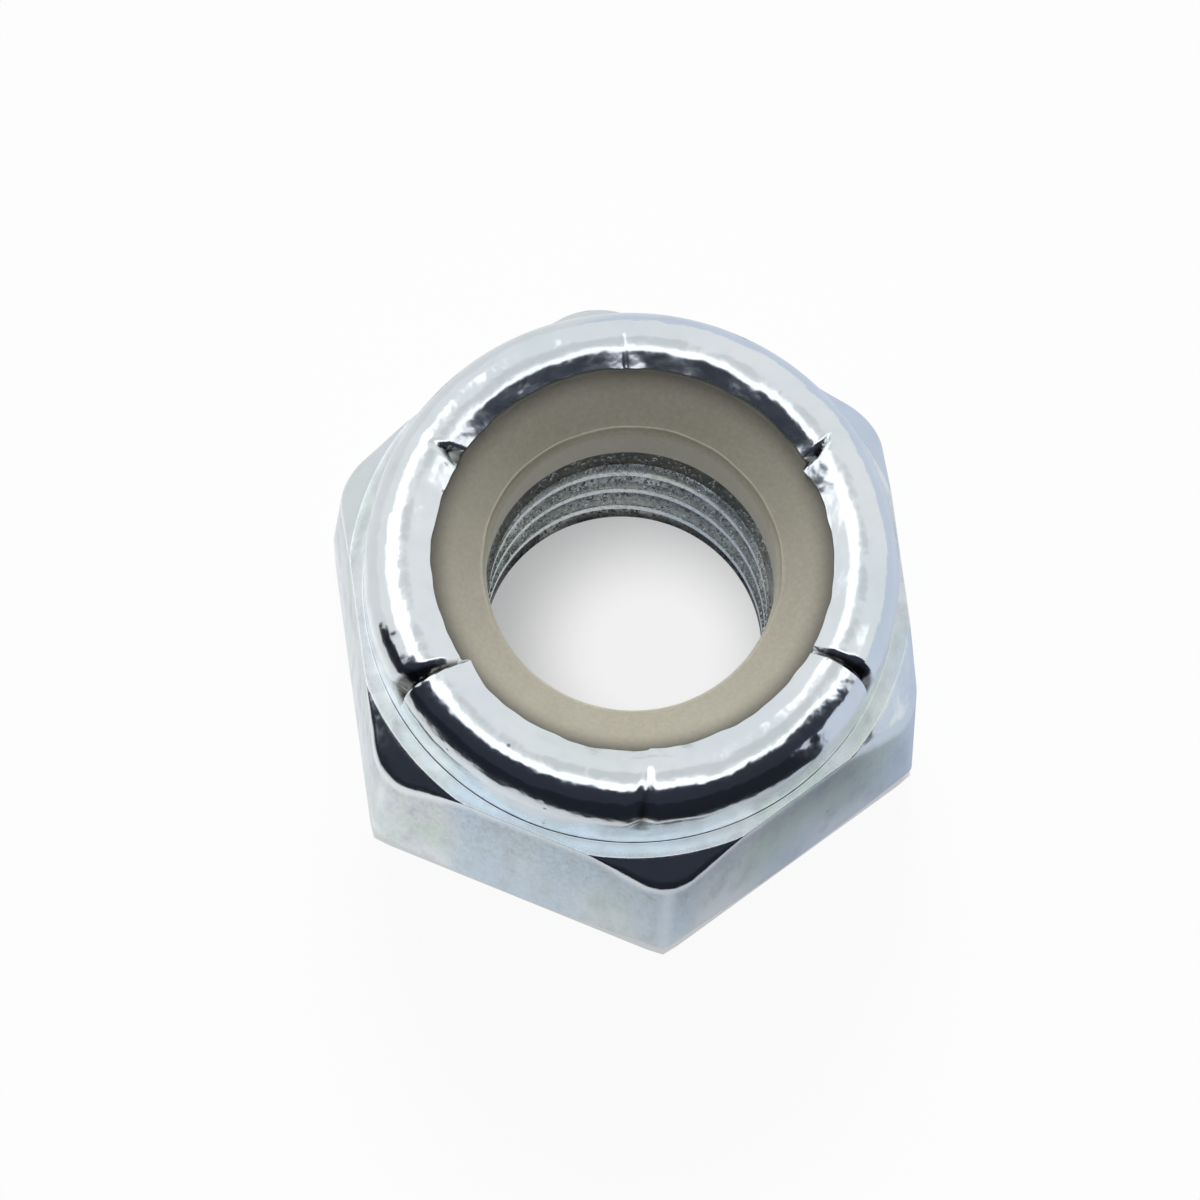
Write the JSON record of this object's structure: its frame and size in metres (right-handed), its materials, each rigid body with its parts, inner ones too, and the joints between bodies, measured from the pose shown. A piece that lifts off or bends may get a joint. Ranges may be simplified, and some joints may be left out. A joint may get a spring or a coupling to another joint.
{
  "type": "nylon insert lock nut",
  "caption": "Hexagonal steel lock nut with a bright zinc finish and a nylon ring held in its rolled collar.",
  "frame": {"origin": "centre of the flat bearing face at the nut's base, on the thread axis", "axes": "+Z along the thread axis from the bearing face to the collar, +Y through a corner of the hexagon, +X square to a flat"},
  "size_m": [0.013, 0.015, 0.008],
  "materials": {
    "zinc_plated_steel": "bright zinc plate with a faint blue passivation",
    "nylon": "matte natural nylon"
  },
  "bodies": {
    "root": {"nut_body": "zinc_plated_steel", "nylon_insert": "nylon"}
  },
  "joints": []
}
